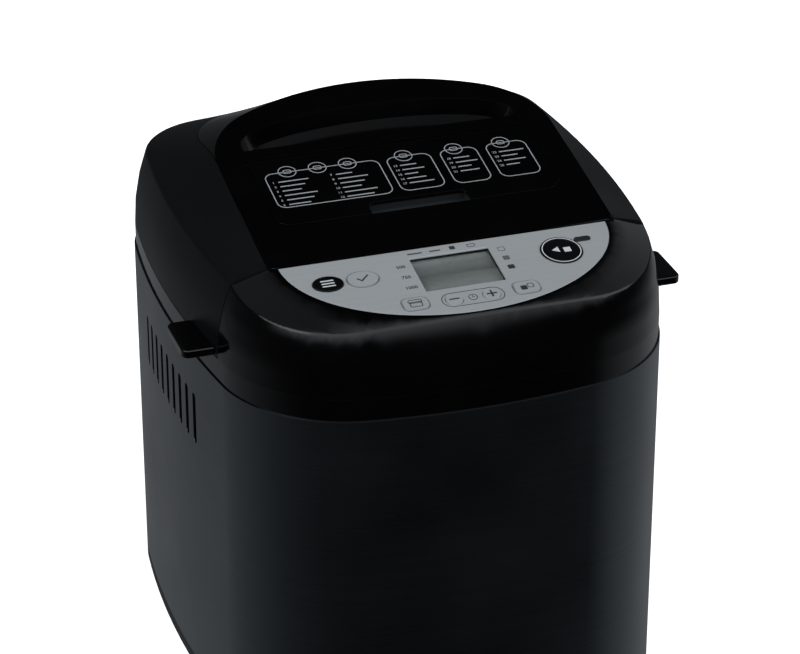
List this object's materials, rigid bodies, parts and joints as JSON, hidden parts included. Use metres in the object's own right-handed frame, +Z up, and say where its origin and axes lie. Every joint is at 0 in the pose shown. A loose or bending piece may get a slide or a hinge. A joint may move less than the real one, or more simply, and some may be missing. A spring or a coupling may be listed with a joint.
{
  "type": "bread machine",
  "caption": "Countertop bread maker with a bowed metal casing, sloping control fascia, and a hinged lid with a flap-covered ingredient dispenser over a kneading pan.",
  "frame": {"origin": "on the floor, below the middle of the casing's outline", "axes": "+Z up, +X to the right of someone facing the controls, +Y to the back"},
  "size_m": [0.276, 0.286, 0.301],
  "materials": {
    "casing_paint": "horizontally brushed dark paint, satin",
    "satin_black": "satin black moulding",
    "gloss_black": "high gloss black",
    "base_black": "fine textured black",
    "rubber_black": "matt",
    "fascia_metal": "finely brushed",
    "display_glass": "clear, polished",
    "display_grey": "grey liquid crystal panel",
    "indicator_dark": "dark translucent",
    "bright_ring": "polished",
    "board_green": "lacquered circuit board",
    "component_dark": "moulded",
    "button_black": "gloss",
    "button_silver": "silver, satin",
    "sheet_steel": "plain zinc plated sheet",
    "heater_steel": "heat stained tube",
    "ceramic": "unglazed ceramic",
    "plain_steel": "turned, bright",
    "bronze": "sintered",
    "pan_coat": "dark non-stick coating",
    "cast_alloy": "die cast",
    "screw_steel": "zinc plated",
    "seal_grey": "silicone"
  },
  "bodies": {
    "machine": {"base_tray": "base_black", "rubber_feet": "rubber_black", "outer_casing": "casing_paint", "cord_gland": "rubber_black", "collar": "satin_black", "hinge_pins": "plain_steel", "control_housing": "gloss_black", "fascia_panel": "fascia_metal", "lcd_window": "display_glass", "lcd_module": "display_grey", "indicator_lens": "indicator_dark", "start_button_ring": "bright_ring", "control_board": "board_green", "key_switches": "component_dark", "baking_chamber": "sheet_steel", "heating_element": "heater_steel", "element_insulators": "ceramic", "element_supports": "sheet_steel", "temperature_sensor": "plain_steel", "thermal_cutout": "component_dark", "chassis_plate": "sheet_steel", "bearing_housing": "cast_alloy", "drive_bushes": "bronze", "drive_belt": "rubber_black", "motor_body": "plain_steel", "power_board": "board_green", "power_components": "component_dark", "pan_seat": "cast_alloy", "bread_pan": "pan_coat", "pan_bush": "bronze", "base_screws": "screw_steel", "deck_screws": "screw_steel"},
    "lid": {"lid_shell": "satin_black", "lid_top_panel": "gloss_black", "lid_liner": "sheet_steel", "lid_seal": "seal_grey", "lid_tab_left": "satin_black", "lid_tab_right": "satin_black", "lid_screws": "screw_steel", "dispenser_box": "base_black"},
    "flap": {"dispenser_flap": "gloss_black"},
    "trapdoor": {"dispenser_trapdoor": "base_black"},
    "handle": {"pan_handle": "plain_steel"},
    "drive": {"drive_shaft": "plain_steel", "large_pulley": "component_dark", "drive_coupling": "cast_alloy"},
    "motor": {"motor_rotor": "plain_steel", "motor_pulley": "plain_steel", "cooling_fan": "component_dark"},
    "paddle": {"pan_shaft": "plain_steel", "pan_coupling": "cast_alloy", "kneading_paddle": "pan_coat"},
    "menu_key": {"menu_button": "button_black"},
    "select_key": {"select_button": "button_silver"},
    "loaf_key": {"loaf_button": "button_silver"},
    "minus_key": {"minus_button": "button_silver"},
    "plus_key": {"plus_button": "button_silver"},
    "crust_key": {"crust_button": "button_silver"},
    "start_stop_key": {"start_stop_button": "button_black"}
  },
  "joints": [
    {"name": "lid_hinge", "type": "hinge", "parent": "machine", "child": "lid", "pos_m": [0, 0.1355, 0.231], "axis": [-1, 0, 0], "range_deg": [0, 90]},
    {"name": "flap_hinge", "type": "hinge", "parent": "lid", "child": "flap", "pos_m": [0, 0.01418, 0.28778], "axis": [-1, 0, 0], "range_deg": [0, 95]},
    {"name": "trapdoor_hinge", "type": "hinge", "parent": "lid", "child": "trapdoor", "pos_m": [0, -0.0281, 0.245], "axis": [-1, 0, 0], "range_deg": [0, 70]},
    {"name": "pan_handle_swing", "type": "hinge", "parent": "machine", "child": "handle", "pos_m": [0, 0.025, 0.206], "axis": [1, 0, 0], "range_deg": [0, 90]},
    {"name": "drive_spin", "type": "hinge", "parent": "machine", "child": "drive", "pos_m": [0, 0.025, 0.05], "axis": [0, 0, 1], "continuous": true},
    {"name": "motor_spin", "type": "hinge", "parent": "machine", "child": "motor", "pos_m": [0.04, -0.097, 0.08], "axis": [0, 0, 1], "continuous": true},
    {"name": "paddle_spin", "type": "hinge", "parent": "machine", "child": "paddle", "pos_m": [0, 0.025, 0.09], "axis": [0, 0, 1], "continuous": true},
    {"name": "menu_key_press", "type": "slide", "parent": "machine", "child": "menu_key", "axis": [0, 0.1867, -0.9824], "range_m": [0, 0.001], "stiffness_N_per_m": 1200},
    {"name": "select_key_press", "type": "slide", "parent": "machine", "child": "select_key", "axis": [0, 0.1867, -0.9824], "range_m": [0, 0.001], "stiffness_N_per_m": 1200},
    {"name": "loaf_key_press", "type": "slide", "parent": "machine", "child": "loaf_key", "axis": [0, 0.1867, -0.9824], "range_m": [0, 0.001], "stiffness_N_per_m": 1200},
    {"name": "minus_key_press", "type": "slide", "parent": "machine", "child": "minus_key", "axis": [0, 0.1867, -0.9824], "range_m": [0, 0.001], "stiffness_N_per_m": 1200},
    {"name": "plus_key_press", "type": "slide", "parent": "machine", "child": "plus_key", "axis": [0, 0.1867, -0.9824], "range_m": [0, 0.001], "stiffness_N_per_m": 1200},
    {"name": "crust_key_press", "type": "slide", "parent": "machine", "child": "crust_key", "axis": [0, 0.1867, -0.9824], "range_m": [0, 0.001], "stiffness_N_per_m": 1200},
    {"name": "start_stop_key_press", "type": "slide", "parent": "machine", "child": "start_stop_key", "axis": [0, 0.1867, -0.9824], "range_m": [0, 0.001], "stiffness_N_per_m": 1200}
  ],
  "couplings": [
    {"joint": "motor_spin", "follows": "drive_spin", "ratio": 5},
    {"joint": "paddle_spin", "follows": "drive_spin", "ratio": 1}
  ]
}
